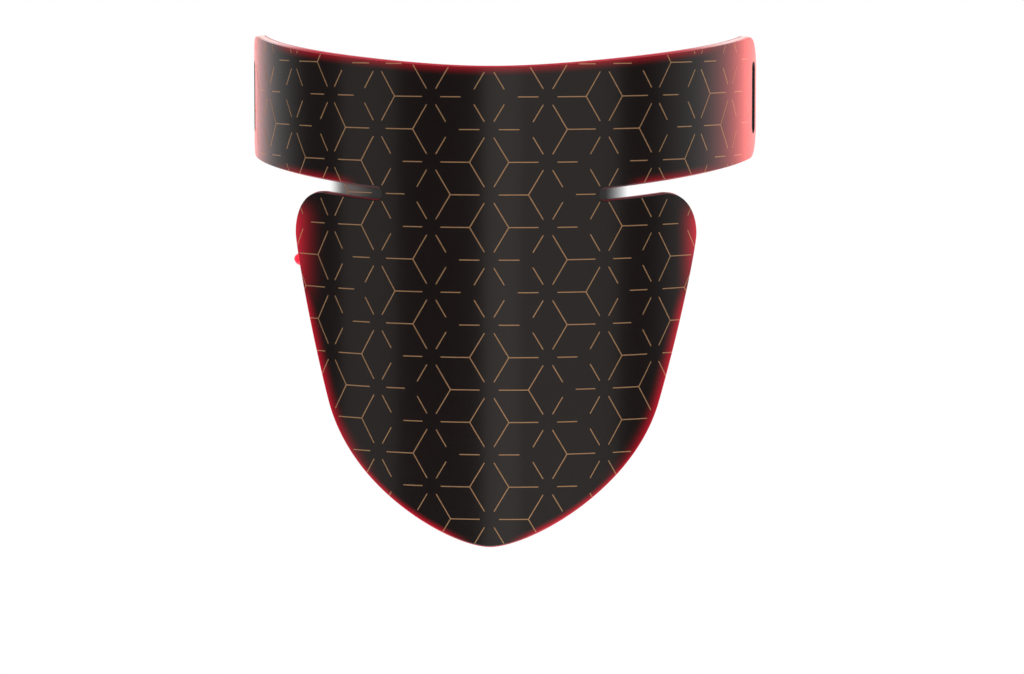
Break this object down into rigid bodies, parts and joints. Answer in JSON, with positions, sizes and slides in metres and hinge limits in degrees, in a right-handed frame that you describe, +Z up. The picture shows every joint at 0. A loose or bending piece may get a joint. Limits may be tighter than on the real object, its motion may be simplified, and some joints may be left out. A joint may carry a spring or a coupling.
{
  "type": "led face mask",
  "caption": "Glossy curved face mask with a thin bent sheet, foil-line front, LED board behind a clear cover, pointed chin, notched cheeks and flexing temple wings with strap slots.",
  "frame": {"origin": "bridge of the wearer's nose, where the nose rest bears, on the mask's mirror plane", "axes": "+Z up along the sheet's straight direction, the mask looks along -Y, +X to the right as seen from the front"},
  "size_m": [0.219, 0.1007, 0.2116],
  "materials": {
    "shell_black": "high gloss",
    "cover_clear": "clear gloss",
    "seal_red": "translucent satin",
    "board_white": "white solder mask",
    "board_amber": "amber film",
    "led_white": "satin",
    "led_smoke": "gloss",
    "chip_black": "matte",
    "capacitor_tan": "matte",
    "silicone": "satin",
    "slot_black": "satin",
    "metal_bright": "polished",
    "metal_copper": "plated"
  },
  "bodies": {
    "visor": {"front_shell": "shell_black", "inner_cover": "cover_clear", "edge_seal": "seal_red", "led_board": "board_white", "red_leds": "led_white", "nir_leds": "led_smoke", "resistors": "chip_black", "driver_chips": "chip_black", "capacitors": "capacitor_tan", "nose_rest": "silicone", "forehead_pads": "silicone", "port_boot": "seal_red", "port_housing": "chip_black", "port_sleeve": "metal_bright", "port_contacts": "metal_copper", "bend_shell_left": "shell_black", "bend_cover_left": "cover_clear", "bend_seal_left": "seal_red", "flex_jumper_left": "board_amber", "bend_shell_right": "shell_black", "bend_cover_right": "cover_clear", "bend_seal_right": "seal_red", "flex_jumper_right": "board_amber"},
    "temple_left": {"temple_shell_left": "shell_black", "temple_cover_left": "cover_clear", "temple_seal_left": "seal_red", "temple_board_left": "board_white", "temple_red_leds_left": "led_white", "temple_nir_leds_left": "led_smoke", "temple_resistors_left": "chip_black", "slot_liner_left": "slot_black"},
    "temple_right": {"temple_shell_right": "shell_black", "temple_cover_right": "cover_clear", "temple_seal_right": "seal_red", "temple_board_right": "board_white", "temple_red_leds_right": "led_white", "temple_nir_leds_right": "led_smoke", "temple_resistors_right": "chip_black", "slot_liner_right": "slot_black"}
  },
  "joints": [
    {"name": "temple_flex_left", "type": "hinge", "parent": "visor", "child": "temple_left", "pos_m": [-0.05995, -0.00915, 0.045], "axis": [0, 0, -1], "range_deg": [-12, 20], "stiffness_Nm_per_rad": 0.33, "deforming": ["bend_shell_left", "bend_cover_left", "bend_seal_left", "flex_jumper_left"]},
    {"name": "temple_flex_right", "type": "hinge", "parent": "visor", "child": "temple_right", "pos_m": [0.05995, -0.00915, 0.045], "axis": [0, 0, 1], "range_deg": [-12, 20], "stiffness_Nm_per_rad": 0.33, "deforming": ["bend_shell_right", "bend_cover_right", "bend_seal_right", "flex_jumper_right"]}
  ]
}
